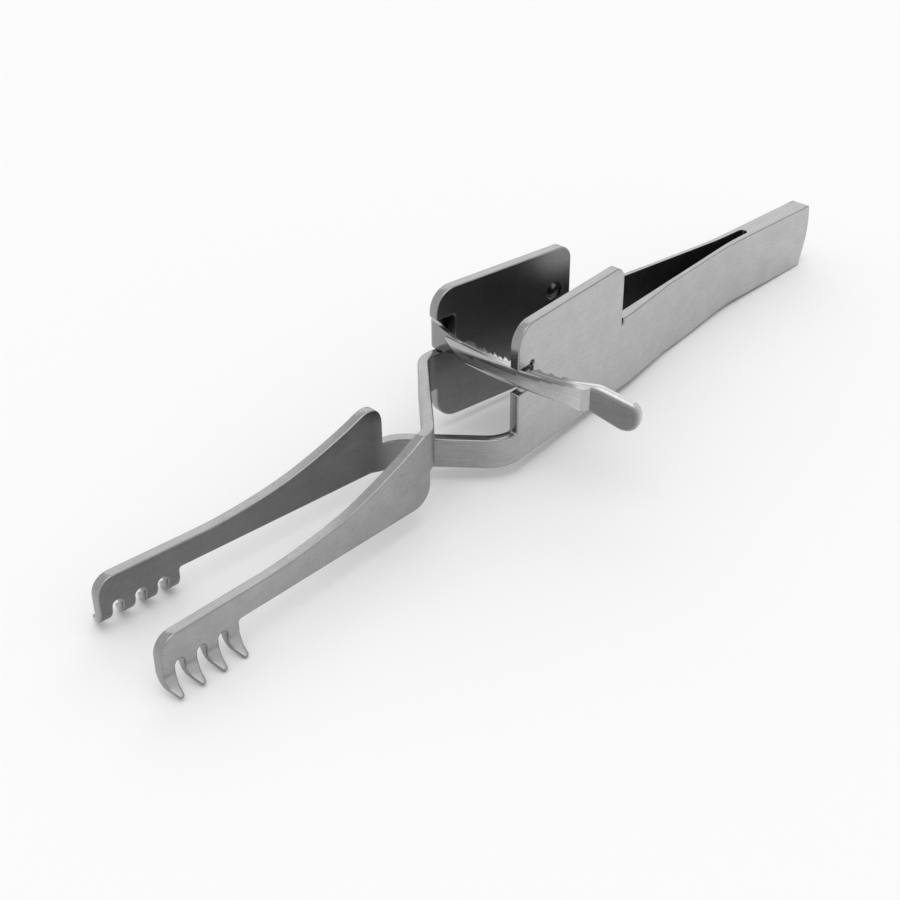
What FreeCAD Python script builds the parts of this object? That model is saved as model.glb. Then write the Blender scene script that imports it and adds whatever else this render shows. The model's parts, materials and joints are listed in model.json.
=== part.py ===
"""Self retaining retractor: two crossed spring leaves held apart by a rack.

The leaves are sheet steel standing on edge. X runs from the jaws (-) to the tail (+), Y across, Z up.
While it is being built, x = 0 is the jaw-side edge of the finger plates, y = 0 the middle plane
and z = 0 the bottom edge of the plates. At the end the whole part is pitched so that it rests on
its prongs and its tail, and moved so that the origin is the bottom centre of its bounding box.
"""
import FreeCAD
import Part

import os
from math import asin, atan2, cos, degrees, pi, radians, sin, sqrt, tan

V = FreeCAD.Vector

# Sheet
SHEET = 1.36                # plates, cross-over strips and jaws
NECK_SHEET = 0.6            # ground middle of the spring blade

# Finger plates and spring blades, in plan
PLATE_LENGTH = 22.0
PLATE_GAP = 12.3            # between the plates, at their jaw-side edge
SPLAY = 6.1                 # each leaf to the middle plane, degrees
GRIND_START = 24.5          # x where the outer face is ground away towards the neck
NECK_X = 34.0
GRIND_RADIUS = 30.0
PIVOT_X = 54.4              # middle of the blade's root, where it bends
ROOT_STRAIGHT = 0.3         # from the end of the root's curve to there

# Finger plates and spring blades, in side view
PLATE_HEIGHT = 18.1
PLATE_FRONT_RADIUS = 3.0    # upper corner on the jaw side
PLATE_BACK_RADIUS = 2.0     # upper corner above the step
PLATE_LOW_RADIUS = 3.0      # lower corner of the far plate, under its strip
BLADE_TOP = 10.4            # height of the step behind the plate
BLADE_RISE_START = 39.0     # x where the lower edge leaves the plates' level
BLADE_RISE_END = 51.0
BLADE_RISE_RADIUS = 60.0
RELIEF_WIDTH = 0.35         # saw cut in the step's corner
RELIEF_DEPTH = 0.8

# Tail
TAIL_END = 70.0
TAIL_TOP = 10.1
TAIL_BOTTOM = 0.75
TAIL_THICK = 2.9
TAIL_GAP = 1.36             # between the leaves, filled by the spacer
TAIL_END_SLANT = 1.1        # how far the end leans back at the bottom
TAIL_END_RADIUS = 16.0
TAIL_CORNER_RADIUS = 0.9
ROOT_CLEARANCE = 0.1        # a leaf's bending root to its welded end

# Cross-over strips
CROSS_X = -7.9              # where each strip crosses the middle plane
CROSS_ANGLE = 48.5          # strips to the middle plane, degrees
CROSS_BEND = 3.3            # bend radius at the plates
LOW_STRIP_TOP = 3.95        # near leaf's strip, from z = 0 up
HIGH_STRIP_BOTTOM = 4.7     # far leaf's strip
HIGH_STRIP_TOP = 9.7
STRIP_CORNER = 0.3

# Jaws
NEAR_JAW_Y = 5.9            # jaw's root to the middle plane, at the middle of the sheet
FAR_JAW_Y = 3.15
NEAR_JAW_BEND = 3.0
FAR_JAW_BEND = 4.5
JAW_SPLAY = 2.6             # each jaw to the middle plane, degrees
JAW_ROOT_X = -13.7          # free edge of the web
JAW_BOTTOM = 0.5
JAW_ARM_TOP = 3.6
JAW_CURVE_START = -39.0     # x where the arm starts to rise to the web
WEB_LEVEL = 0.86            # near jaw's web, level edge before the free edge
FAR_JAW_SET_BACK = 1.1      # far jaw towards the tail, from the near jaw
FAR_CURVE_LEAD = 0.6        # far jaw's rise starts this much earlier
WEB_CROWN_RADIUS = 2.2      # far jaw's web, above the strip
WEB_LOW_RADIUS = 2.6        # near jaw's web, under the strip
WEB_FOOT_LENGTH = 2.0       # far jaw's web, where the strip's lower edge runs out to the jaw's
JAW_NOSE_RADIUS = 2.2

# Prongs
PRONG_COUNT = 4
PRONG_WIDTH = 1.62
PRONG_SPACE = 1.22
PRONG_HEEL_X = -42.9        # last prong's edge on the tail side
PRONG_SPACE_TOP = 0.2       # top of the round-ended spaces
PRONG_STRAIGHT = -0.7       # z where the hook starts to curve
PRONG_HOOK_RADIUS = 1.9
PRONG_HOOK_ANGLE = 68.0
PRONG_POINT = 1.35          # straight length after the curve
PRONG_TIP_THICK = 0.5
PRONG_TIP_WIDTH = 0.5
PRONG_TAPER = 2.0           # length over which the sides draw in to the tip
PRONG_LEAN = 35.0           # direction from root to tip, degrees from straight down

# Rack bar and thumb paddle, laid out on arcs about the blades' roots
RACK_FACE = 52.5            # radius of the toothed face
RACK_DEPTH = 1.75
RACK_TOP = 12.35
RACK_HEIGHT = 2.4
RACK_ROUND = 1.1            # rounding of the face towards the jaws
RACK_START_Y = 5.0          # brazed end
RACK_END_SLANT = 1.7        # how far it is cut back at the bottom
RACK_END_Y = -13.5
RACK_FLARE_LENGTH = 3.4
RACK_FLARE_HEIGHT = 3.0
TOOTH_PITCH = 1.68
TOOTH_DEPTH = 0.42
TOOTH_FLAT = 0.75           # bottom of a gullet
TOOTH_CREST = 0.1
TOOTH_HOLD = 0.4            # steep face to the slot's edge when the catch has dropped in
TOOTH_COUNT = 8
TEETH_BEHIND = 4            # teeth from the slot's edge at rest towards the far plate
PADDLE_LENGTH = 8.2
PADDLE_HEIGHT = 4.1
PADDLE_THICK = 1.25
PADDLE_TOP = 12.0
PADDLE_STEP = 0.8           # bar's rounded face to the paddle's
PADDLE_LAP = 0.6            # the paddle starts this far inside the bar's end
PADDLE_SHOULDER = 1.5       # length over which it deepens
PADDLE_RIM = 0.4

# Slots in the plates
NEAR_SLOT_BOTTOM = 9.3
NEAR_SLOT_TOP = 12.6
FAR_SLOT_DEPTH = 2.9
FAR_SLOT_TOP = 14.3
SLOT_CORNER = 0.35
SLOT_EDGE_THICK = 0.3       # the near slot's bevelled edge, which drops between teeth
SLOT_BEVEL = 0.6
SLOT_RELIEF_RADIUS = 0.4
CREST_CLEARANCE = 0.06      # tooth crests to the slot's edge with the catch eased

# Catch strip and its rivet
STRIP_THICK = 0.6
STRIP_HEIGHT = 3.7
STRIP_TOP_CLEARANCE = 0.8   # to the top of the far plate's slot
STRIP_SEAT = 0.1            # strip to the plate's outer face at the rivet
STRIP_EASE = 1.5            # how far the strip bows out where the teeth are clear, degrees
STRIP_BEHIND_RIVET = 1.4
STRIP_BEND = 0.6            # inside radius where it turns into the slot
STRIP_LEG_X = 0.65          # front face of the leg through the slot, on which the rack is brazed
STRIP_LAP = 2.4
STRIP_LAP_HEIGHT = 1.6
STRIP_LAP_CLEARANCE = 0.08  # lap's end to the bar's shoulder
RIVET_X = 19.3
RIVET_Z = 12.2
RIVET_RADIUS = 0.7
RIVET_HEAD_RADIUS = 1.15
RIVET_HEAD_HEIGHT = 0.35
RIVET_RECESS_DEPTH = 0.5
RIVET_FIT = 0.02            # shank to the plate's hole
RIVET_CLEARANCE = 0.1       # shank and head to the strip, which bows; inner head to its recess

# Worked out from the sizes above
NEAR, FAR = -1, 1
SLOPE = tan(radians(SPLAY))
PLATE_ACROSS = SHEET / cos(radians(SPLAY))
PLATE_MID_Y = PLATE_GAP / 2 + PLATE_ACROSS / 2
PLATE_NORMAL = V(sin(radians(SPLAY)), cos(radians(SPLAY)), 0)
ROOT_THICK = (TAIL_THICK - TAIL_GAP) / 2
PIVOT_Y = (TAIL_GAP + ROOT_THICK) / 2
TAIL_FACE = PIVOT_X + ROOT_THICK / 2 + ROOT_CLEARANCE
ROOT_BEND_X = (PLATE_GAP / 2 - TAIL_GAP / 2) / SLOPE
ROOT_BEND_RADIUS = (PIVOT_X - ROOT_STRAIGHT - ROOT_BEND_X) / tan(radians(SPLAY) / 2)
JAW_SLOPE = tan(radians(JAW_SPLAY))
PRONG_PITCH = PRONG_WIDTH + PRONG_SPACE
JAW_END = PRONG_HEEL_X - PRONG_WIDTH - (PRONG_COUNT - 1) * PRONG_PITCH
JAW_RISE = HIGH_STRIP_TOP - JAW_ARM_TOP
JAW_RISE_LENGTH = JAW_ROOT_X - WEB_LEVEL - JAW_CURVE_START
JAW_CURVE_RADIUS = (JAW_RISE_LENGTH ** 2 + JAW_RISE ** 2) / (2 * JAW_RISE)
SLOT_EDGE_R = RACK_FACE - CREST_CLEARANCE
RACK_START = asin(-RACK_START_Y / RACK_FACE)
RACK_END = asin(-RACK_END_Y / RACK_FACE)
STRIP_TOP = FAR_SLOT_TOP - STRIP_TOP_CLEARANCE
STRIP_BOTTOM = STRIP_TOP - STRIP_HEIGHT
ORIGIN = V(0, 0, 0)
FORTH = V(1, 0, 0)
LEFT = V(0, 1, 0)
UP = V(0, 0, 1)
WIDE = TAIL_END - JAW_END   # longer than anything that a cutting or trimming shape goes through


def wire_face(edges):
    return Part.Face(Part.Wire(edges))


def polygon_face(points):
    return Part.Face(Part.makePolygon(points + points[:1]))


def flat(a, b):
    return V(a, b, 0)


def upright(a, b):
    return V(a, 0, b)


def outline(points, place=flat):
    """Closed face of straight lines, with each corner (a, b, radius) rounded to its radius."""
    corners = []
    for i, (a, b, radius) in enumerate(points):
        corner = V(a, b, 0)
        if not radius:
            corners.append((corner, None, corner))
            continue
        before, after = points[i - 1], points[(i + 1) % len(points)]
        u = (V(before[0], before[1], 0) - corner).normalize()
        w = (V(after[0], after[1], 0) - corner).normalize()
        half = u.getAngle(w) / 2
        reach = radius / tan(half)
        crown = corner + (u + w).normalize() * (radius / sin(half) - radius)
        corners.append((corner + u * reach, crown, corner + w * reach))
    edges = []
    for i, (start, crown, end) in enumerate(corners):
        if crown:
            edges.append(Part.Arc(place(start.x, start.y), place(crown.x, crown.y), place(end.x, end.y)).toShape())
        following = corners[(i + 1) % len(corners)][0]
        if (following - end).Length > 1e-6:
            edges.append(Part.makeLine(place(end.x, end.y), place(following.x, following.y)))
    return wire_face(edges)


def prism(face, low, high, axis):
    face.translate(axis * low)
    return face.extrude(axis * (high - low))


def through(points):
    """A side view outline made thick enough to cut or trim both leaves."""
    return prism(outline(points, upright), -WIDE, WIDE, LEFT)


def offset_path(path, distance):
    """Corners (x, y, radius) of a bent centre line, moved to its left by distance."""
    moved = []
    for i, (x, y, radius) in enumerate(path):
        normals = []
        for j in (i - 1, i):
            if 0 <= j < len(path) - 1:
                dx, dy = path[j + 1][0] - path[j][0], path[j + 1][1] - path[j][1]
                normals.append(V(-dy, dx, 0).normalize())
        first, last = normals[0], normals[-1]
        middle = (first + last).normalize()
        reach = distance / middle.dot(first)
        turn = 1 if first.x * last.y > first.y * last.x else -1
        moved.append((x + middle.x * reach, y + middle.y * reach, radius and radius - turn * distance))
    return moved


def band(path, thickness):
    """Plan of a strip of even thickness along a bent centre line."""
    return outline(offset_path(path, -thickness / 2) + offset_path(path, thickness / 2)[::-1])


def about_pivot(radius, angle, z=0.0):
    """Point on an arc about the blades' roots; angles grow from the middle plane towards the near side."""
    return V(PIVOT_X - radius * cos(angle), -radius * sin(angle), z)


def inner_y(x):
    """Inner face of a leaf's straight stretch, measured from the middle plane."""
    return PLATE_GAP / 2 - SLOPE * x


def jaw_path(root_y, bend):
    """Centre line from the plate's edge over the crossing to the jaw's end; the leaf's own side is +Y."""
    cross = tan(radians(CROSS_ANGLE))
    bend_x = (PLATE_MID_Y + CROSS_X * cross) / (cross + SLOPE)
    root_x = CROSS_X - root_y / cross
    end_x = JAW_END - SHEET
    return [(0, PLATE_MID_Y, 0), (bend_x, PLATE_MID_Y - SLOPE * bend_x, CROSS_BEND),
            (root_x, -root_y, bend), (end_x, jaw_y(root_y, end_x), 0)]


def jaw_y(root_y, x):
    """Middle of a jaw's sheet at x, with the leaf's own side at +Y."""
    root_x = CROSS_X - root_y / tan(radians(CROSS_ANGLE))
    return -root_y - JAW_SLOPE * (root_x - x)


def leaf_plan(root_y, bend):
    """Plan of a whole leaf with its own side at +Y: blade, plate, strip and jaw as one bent sheet."""
    path = jaw_path(root_y, bend)
    outer, inner = offset_path(path, -SHEET / 2)[1:], offset_path(path, SHEET / 2)[1:]
    neck = NECK_SHEET / cos(radians(SPLAY))
    root_in, root_out = TAIL_GAP / 2, TAIL_THICK / 2
    root_end, root_radius = PIVOT_X + ROOT_THICK / 2, 0.49 * ROOT_THICK
    blade_outer = [
        ((PLATE_GAP / 2 + neck - root_out) / SLOPE, root_out, ROOT_BEND_RADIUS),
        (NECK_X, inner_y(NECK_X) + neck, GRIND_RADIUS),
        (GRIND_START, inner_y(GRIND_START) + PLATE_ACROSS, GRIND_RADIUS)]
    blade_inner = [(ROOT_BEND_X, root_in, ROOT_BEND_RADIUS)]
    root = [(root_end, root_in, root_radius), (root_end, root_out, root_radius)]
    return outline(root + blade_outer + outer + inner[::-1] + blade_inner)


def body_profile(side):
    """Side view of plate and blade, with the strip running out to the jaw's root."""
    low, high = (0, LOW_STRIP_TOP) if side == NEAR else (HIGH_STRIP_BOTTOM, HIGH_STRIP_TOP)
    root_end = PIVOT_X + ROOT_THICK
    under = [] if side == NEAR else [(0, low, STRIP_CORNER), (0, 0, PLATE_LOW_RADIUS)]
    over = [(0, high, STRIP_CORNER)] if side == NEAR else [
        (0, FAR_SLOT_TOP, SLOT_CORNER), (FAR_SLOT_DEPTH, FAR_SLOT_TOP, SLOT_CORNER),
        (FAR_SLOT_DEPTH, high, SLOT_CORNER)]
    return through([(JAW_ROOT_X, low, 0)] + under + [
        (BLADE_RISE_START, 0, BLADE_RISE_RADIUS), (BLADE_RISE_END, TAIL_BOTTOM, BLADE_RISE_RADIUS),
        (root_end, TAIL_BOTTOM, 0), (root_end, TAIL_TOP, 0), (PLATE_LENGTH, BLADE_TOP, 0),
        (PLATE_LENGTH, PLATE_HEIGHT, PLATE_BACK_RADIUS), (0, PLATE_HEIGHT, PLATE_FRONT_RADIUS),
    ] + over + [(JAW_ROOT_X, high, 0)])


def arc_about(centre, radius, start, end):
    """Arc in side view between two directions in degrees from +X towards +Z, with its two ends."""
    spots = [centre + upright(cos(radians(t)), sin(radians(t))) * radius for t in (start, (start + end) / 2, end)]
    return Part.Arc(*spots).toShape(), spots[0], spots[2]


def tall_web(hollow):
    """Far jaw's rise and web: its round crown meets the arm's concave edge without a corner."""
    crown_x = JAW_ROOT_X - WEB_CROWN_RADIUS
    between = JAW_CURVE_RADIUS + WEB_CROWN_RADIUS
    crown = upright(crown_x, hollow.z - sqrt(between ** 2 - (crown_x - hollow.x) ** 2))
    aim = degrees(atan2(crown.z - hollow.z, crown.x - hollow.x))
    rise, arm_end, _ = arc_about(hollow, JAW_CURVE_RADIUS, -90, aim)
    top, _, edge_top = arc_about(crown, WEB_CROWN_RADIUS, aim + 180, 0)
    foot, last = upright(JAW_ROOT_X, 0), upright(JAW_ROOT_X - WEB_FOOT_LENGTH, JAW_BOTTOM)
    return [rise, top, Part.makeLine(edge_top, foot), Part.makeLine(foot, last)], arm_end, last


def low_web(hollow):
    """Near jaw's rise and web: level with its strip above, and rounded under it."""
    aim = degrees(asin((HIGH_STRIP_TOP - hollow.z) / JAW_CURVE_RADIUS))
    rise, arm_end, rise_end = arc_about(hollow, JAW_CURVE_RADIUS, -90, aim)
    corner = upright(JAW_ROOT_X, HIGH_STRIP_TOP)
    under = upright(JAW_ROOT_X - WEB_LOW_RADIUS, JAW_BOTTOM + WEB_LOW_RADIUS)
    rounding, edge_low, last = arc_about(under, WEB_LOW_RADIUS, 0, -90)
    return [rise, Part.makeLine(rise_end, corner), Part.makeLine(corner, edge_low), rounding], arm_end, last


def arm_profile(side):
    """Side view of a jaw: nose, comb block, slim arm, concave rise and deep web. side is the plate's."""
    hollow = upright(JAW_CURVE_START, JAW_ARM_TOP + JAW_CURVE_RADIUS)
    edges, arm_end, last = tall_web(hollow - FORTH * FAR_CURVE_LEAD) if side == NEAR else low_web(hollow)
    nose_centre = upright(JAW_END + JAW_NOSE_RADIUS, JAW_ARM_TOP - JAW_NOSE_RADIUS)
    nose, nose_low, nose_top = arc_about(nose_centre, JAW_NOSE_RADIUS, 180, 90)
    corners = [last, upright(PRONG_HEEL_X, JAW_BOTTOM), upright(PRONG_HEEL_X, PRONG_STRAIGHT),
               upright(JAW_END, PRONG_STRAIGHT), nose_low]
    edges += [Part.makeLine(a, b) for a, b in zip(corners, corners[1:])]
    edges += [nose, Part.makeLine(nose_top, arm_end)]
    return prism(wire_face(edges), -WIDE, WIDE, LEFT)


def comb_spaces():
    """Round-topped spaces between the prongs, cut across the sheet."""
    half, low = PRONG_SPACE / 2, PRONG_STRAIGHT - 1
    spaces = []
    for i in range(PRONG_COUNT - 1):
        x = PRONG_HEEL_X - PRONG_WIDTH - half - i * PRONG_PITCH
        spaces.append(through([(x - half, low, 0), (x - half, PRONG_SPACE_TOP, 0.98 * half),
                               (x + half, PRONG_SPACE_TOP, 0.98 * half), (x + half, low, 0)]))
    return spaces


def hook_point(angle, offset, ahead=0.0):
    """Point of a hook curling towards -Y from (0, PRONG_STRAIGHT), offset to its outer side."""
    radius = PRONG_HOOK_RADIUS + offset
    return V(0, radius * cos(angle) - PRONG_HOOK_RADIUS - ahead * sin(angle),
             PRONG_STRAIGHT - radius * sin(angle) - ahead * cos(angle))


def hook_side():
    """Side view of one hook, thinning from the sheet to its tip, with its tip's two corners."""
    bend = radians(PRONG_HOOK_ANGLE)
    root, tip = SHEET / 2 / cos(radians(JAW_SPLAY)), PRONG_TIP_THICK / 2
    halves = (root, (2 * root + tip) / 3, (root + 2 * tip) / 3)
    outer = [hook_point(bend * i / 2, half) for i, half in enumerate(halves)]
    inner = [hook_point(bend * i / 2, -half) for i, half in enumerate(halves)]
    tip_outer, tip_inner = hook_point(bend, tip, PRONG_POINT), hook_point(bend, -tip, PRONG_POINT)
    face = wire_face([Part.Arc(*outer).toShape(), Part.makeLine(outer[2], tip_outer),
                      Part.makeLine(tip_outer, tip_inner), Part.makeLine(tip_inner, inner[2]),
                      Part.Arc(*inner[::-1]).toShape(), Part.makeLine(inner[0], outer[0])])
    return face, max(point_reach(tip_outer), point_reach(tip_inner))


def point_reach(point):
    """How far a point of the hook lies from its root along the way that the prong leans."""
    lean = radians(PRONG_LEAN)
    return -point.y * sin(lean) + (PRONG_STRAIGHT - point.z) * cos(lean)


def prong():
    """One prong below the middle of the sheet at x = 0, hooked towards -Y and ground to a blunt point."""
    face, reach = hook_side()
    solid = prism(face, -PRONG_WIDTH / 2, PRONG_WIDTH / 2, V(1, JAW_SLOPE, 0))
    wide, fine, shoulder = PRONG_WIDTH / 2, PRONG_TIP_WIDTH / 2, PRONG_TAPER - reach
    blank = through([(-wide, wide, 0), (wide, wide, 0), (wide, shoulder, PRONG_TAPER), (fine, -reach, 0.9 * fine),
                     (-fine, -reach, 0.9 * fine), (-wide, shoulder, PRONG_TAPER)])
    blank.rotate(ORIGIN, FORTH, -PRONG_LEAN)
    blank.translate(UP * PRONG_STRAIGHT)
    return solid.common(blank)


def jaw_prongs(root_y, set_back):
    """All the prongs of one jaw, hooked away from the other jaw."""
    prongs = []
    for i in range(PRONG_COUNT):
        x = PRONG_HEEL_X - PRONG_WIDTH / 2 - i * PRONG_PITCH + set_back
        one = prong()
        one.translate(V(x, jaw_y(root_y, x), 0))
        prongs.append(one)
    return prongs


def slot_edge_along():
    """Distance along the near plate's middle to the slot's edge, which lies on an arc about the roots."""
    middle = PIVOT_X * cos(radians(SPLAY)) + PLATE_MID_Y * sin(radians(SPLAY))
    return middle - sqrt(middle ** 2 - PIVOT_X ** 2 - PLATE_MID_Y ** 2 + SLOT_EDGE_R ** 2)


def near_slot():
    """Slot through the near plate, with its own side at +Y: bevelled inner edge and a relief hole."""
    depth, face, edge = slot_edge_along(), SHEET / 2, SLOT_EDGE_THICK / 2
    shape = outline([(-SHEET, -SHEET, 0), (depth + SLOT_BEVEL, -SHEET, 0), (depth + SLOT_BEVEL, -face, 0),
                     (depth, -edge, 0), (depth, edge, 0), (depth + SLOT_BEVEL, face, 0),
                     (depth + SLOT_BEVEL, SHEET, 0), (-SHEET, SHEET, 0)])
    slot = prism(shape, NEAR_SLOT_BOTTOM, NEAR_SLOT_TOP, UP)
    relief = Part.makeCylinder(SLOT_RELIEF_RADIUS, 2 * SHEET, V(depth + SLOT_BEVEL / 2, -SHEET, NEAR_SLOT_TOP), LEFT)
    slot = slot.fuse(relief)
    slot.rotate(ORIGIN, UP, -SPLAY)
    slot.translate(LEFT * PLATE_MID_Y)
    return slot


def plate_point(x, out, z=0.0):
    """Point beside the far plate, out millimetres away from its outer face."""
    return V(x, PLATE_MID_Y - SLOPE * x, z) + PLATE_NORMAL * (SHEET / 2 + out)


def rivet_hole():
    """Hole through the far plate, with a round recess for the rivet's head in its inner face."""
    hole = Part.makeCylinder(RIVET_RADIUS + RIVET_FIT, 3 * SHEET, plate_point(RIVET_X, SHEET, RIVET_Z),
                             -PLATE_NORMAL)
    recess = Part.makeCylinder(RIVET_HEAD_RADIUS + RIVET_CLEARANCE, SHEET,
                               plate_point(RIVET_X, RIVET_RECESS_DEPTH - SHEET, RIVET_Z), -PLATE_NORMAL)
    return hole.fuse(recess)


def relief_cut():
    """Saw cut down from the corner where the plate steps down to the blade."""
    low, high = BLADE_TOP - RELIEF_DEPTH, BLADE_TOP + 1
    near, far = PLATE_LENGTH, PLATE_LENGTH + RELIEF_WIDTH
    return through([(near, low, 0), (far, low, 0), (far, high, 0), (near, high, 0)])


def leaf(side):
    """One spring leaf: blade, finger plate, cross-over strip, jaw and prongs. side is the plate's side."""
    root_y, bend, set_back = (
        (FAR_JAW_Y, FAR_JAW_BEND, FAR_JAW_SET_BACK) if side == NEAR else (NEAR_JAW_Y, NEAR_JAW_BEND, 0.0))
    arm, spaces = arm_profile(side), comb_spaces()
    for shape in [arm] + spaces:
        shape.translate(FORTH * set_back)
    sheet = prism(leaf_plan(root_y, bend), -WIDE, WIDE, UP).common(body_profile(side).fuse(arm))
    cuts = spaces + [relief_cut(), near_slot() if side == NEAR else rivet_hole()]
    whole = sheet.cut(cuts).fuse(jaw_prongs(root_y, set_back)).removeSplitter()
    return whole.mirror(ORIGIN, LEFT) if side == NEAR else whole


def tail_piece(low_y, high_y):
    """Slice of the tail between two planes, with its slanting, slightly bulging end."""
    top, bottom = upright(TAIL_END, TAIL_TOP), upright(TAIL_END - TAIL_END_SLANT, TAIL_BOTTOM)
    bulge = TAIL_END_RADIUS - sqrt(TAIL_END_RADIUS ** 2 - ((top - bottom).Length / 2) ** 2)
    crown = (top + bottom) * 0.5 + FORTH * bulge
    face_top, face_low = upright(TAIL_FACE, TAIL_TOP), upright(TAIL_FACE, TAIL_BOTTOM)
    face = wire_face([Part.Arc(top, crown, bottom).toShape(), Part.makeLine(bottom, face_low),
                      Part.makeLine(face_low, face_top), Part.makeLine(face_top, top)])
    piece = prism(face, low_y, high_y, LEFT)
    corners = [e for e in piece.Edges if e.BoundBox.XMin > TAIL_END - 2 * TAIL_END_SLANT and e.BoundBox.ZLength < 0.1]
    return piece.makeFillet(TAIL_CORNER_RADIUS, corners)


def tail_spacer():
    """Spacer between the welded ends, hollowed to the small round end of the gap."""
    gap = TAIL_GAP / 2
    return tail_piece(-gap, gap).cut(Part.makeCylinder(gap, WIDE, V(TAIL_FACE, 0, -WIDE / 2), UP))


def gullets():
    """Wedges that cut the saw teeth: steep on the near side, where the slot's edge is held, then a ramp."""
    pitch, bottom = TOOTH_PITCH / SLOT_EDGE_R, TOOTH_FLAT / RACK_FACE
    edge = asin((PLATE_MID_Y - slot_edge_along() * sin(radians(SPLAY))) / SLOT_EDGE_R)
    swing = radians(STRIP_EASE) * (RIVET_X - PIVOT_X + RACK_FACE)
    first = edge + (TOOTH_HOLD + SLOT_EDGE_THICK / 2 - swing) / RACK_FACE - TEETH_BEHIND * pitch
    wedges = []
    for i in range(TOOTH_COUNT):
        steep, crest = first + i * pitch, first + (i - 1) * pitch + TOOTH_CREST / RACK_FACE
        wedges.append(prism(polygon_face([
            about_pivot(RACK_FACE - 1, steep), about_pivot(RACK_FACE + TOOTH_DEPTH, steep),
            about_pivot(RACK_FACE + TOOTH_DEPTH, steep - bottom), about_pivot(RACK_FACE, crest),
            about_pivot(RACK_FACE - 1, crest)]), 0, WIDE, UP))
    return wedges


def bar_section(angle, height):
    """D-shaped section of the bar: flat towards the tail, rounded towards the jaws."""
    low, front = RACK_TOP - height, RACK_FACE + RACK_DEPTH
    cant = RACK_ROUND * (1 - cos(pi / 4))
    spots = [about_pivot(r, angle, z) for r, z in (
        (RACK_FACE, low), (RACK_FACE, RACK_TOP), (front - RACK_ROUND, RACK_TOP), (front - cant, RACK_TOP - cant),
        (front, RACK_TOP - RACK_ROUND), (front, low + RACK_ROUND), (front - cant, low + cant),
        (front - RACK_ROUND, low))]
    return Part.Wire([Part.makeLine(spots[0], spots[1]), Part.makeLine(spots[1], spots[2]),
                      Part.Arc(*spots[2:5]).toShape(), Part.makeLine(spots[4], spots[5]),
                      Part.Arc(*spots[5:8]).toShape(), Part.makeLine(spots[7], spots[0])])


def bar_end_cut():
    """Cut that slants the bar's brazed end back towards the bottom."""
    over, low = RACK_START_Y + SHEET, RACK_TOP - RACK_HEIGHT
    face = polygon_face([V(-WIDE, y, z) for y, z in (
        (over, WIDE), (RACK_START_Y, WIDE), (RACK_START_Y, RACK_TOP), (RACK_START_Y - RACK_END_SLANT, low),
        (RACK_START_Y - RACK_END_SLANT, 0), (over, 0))])
    return face.extrude(FORTH * 2 * WIDE)


def strip_lap():
    """Cut in the back of the bar's end that the strip's leg fills."""
    reach = RACK_START_Y - STRIP_LAP - STRIP_LAP_CLEARANCE
    return Part.makeBox(WIDE, WIDE, WIDE, V(STRIP_LEG_X, reach, 0))


def paddle():
    """Flat spatulate thumb piece, square to the arc at its middle, with a rounded rim."""
    low, high, start = PADDLE_TOP - PADDLE_HEIGHT, PADDLE_TOP, -PADDLE_LENGTH / 2
    end_round = 0.49 * PADDLE_HEIGHT
    face = outline([(start - PADDLE_LAP, RACK_TOP - RACK_FLARE_HEIGHT, 0),
                    (start + PADDLE_SHOULDER, low, PADDLE_SHOULDER), (-start, low, end_round),
                    (-start, high, end_round), (start + PADDLE_SHOULDER / 2, high, 0),
                    (start - PADDLE_LAP, RACK_TOP, 0)], upright)
    front = PADDLE_STEP - RACK_DEPTH
    blank = prism(face, front, front + PADDLE_THICK, LEFT)
    rim = [e for e in blank.Edges if e.BoundBox.YLength < 0.01 and e.BoundBox.XMin > start]
    blank = blank.makeFillet(PADDLE_RIM, rim)
    middle = RACK_END - start / RACK_FACE
    blank.rotate(ORIGIN, UP, degrees(middle) - 90)
    blank.translate(about_pivot(RACK_FACE, middle))
    return blank


def rack():
    """Half-round toothed bar on an arc about the roots, brazed to the strip and flared to the paddle."""
    flare = RACK_END - RACK_FLARE_LENGTH / RACK_FACE
    section = Part.Face(bar_section(RACK_START, RACK_HEIGHT))
    bar = section.revolve(V(PIVOT_X, 0, 0), UP, degrees(flare - RACK_START)).cut([bar_end_cut(), strip_lap()])
    flared = Part.makeLoft([bar_section(flare, RACK_HEIGHT), bar_section(RACK_END, RACK_FLARE_HEIGHT)], True)
    return bar.fuse([flared, paddle()]).cut(gullets()).removeSplitter()


def catch_hinge():
    """Point that the strip bows about: its inner face at the rivet."""
    return plate_point(RIVET_X, STRIP_SEAT)


def strip_hole(middle, normal):
    return Part.makeCylinder(RIVET_RADIUS + RIVET_CLEARANCE, 4 * STRIP_THICK, middle + normal * 2 * STRIP_THICK,
                             -normal)


def catch_strip():
    """Flat spring strip outside the far plate, with a leg in through the slot to the back of the rack's end."""
    bow = radians(SPLAY + STRIP_EASE)
    along, out = V(-cos(bow), sin(bow), 0), V(sin(bow), cos(bow), 0)
    middle = catch_hinge() + out * (STRIP_THICK / 2)
    leg_x, leg_end = STRIP_LEG_X + STRIP_THICK / 2, RACK_START_Y - STRIP_LAP
    corner, start = middle + along * ((middle.x - leg_x) / cos(bow)), middle - along * STRIP_BEHIND_RIVET
    path = [(start.x, start.y, 0), (corner.x, corner.y, STRIP_BEND + STRIP_THICK / 2), (leg_x, leg_end, 0)]
    strip = prism(band(path, STRIP_THICK), STRIP_BOTTOM, STRIP_TOP, UP)
    return strip.common(strip_taper()).cut(strip_hole(middle + UP * RIVET_Z, out))


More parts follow.
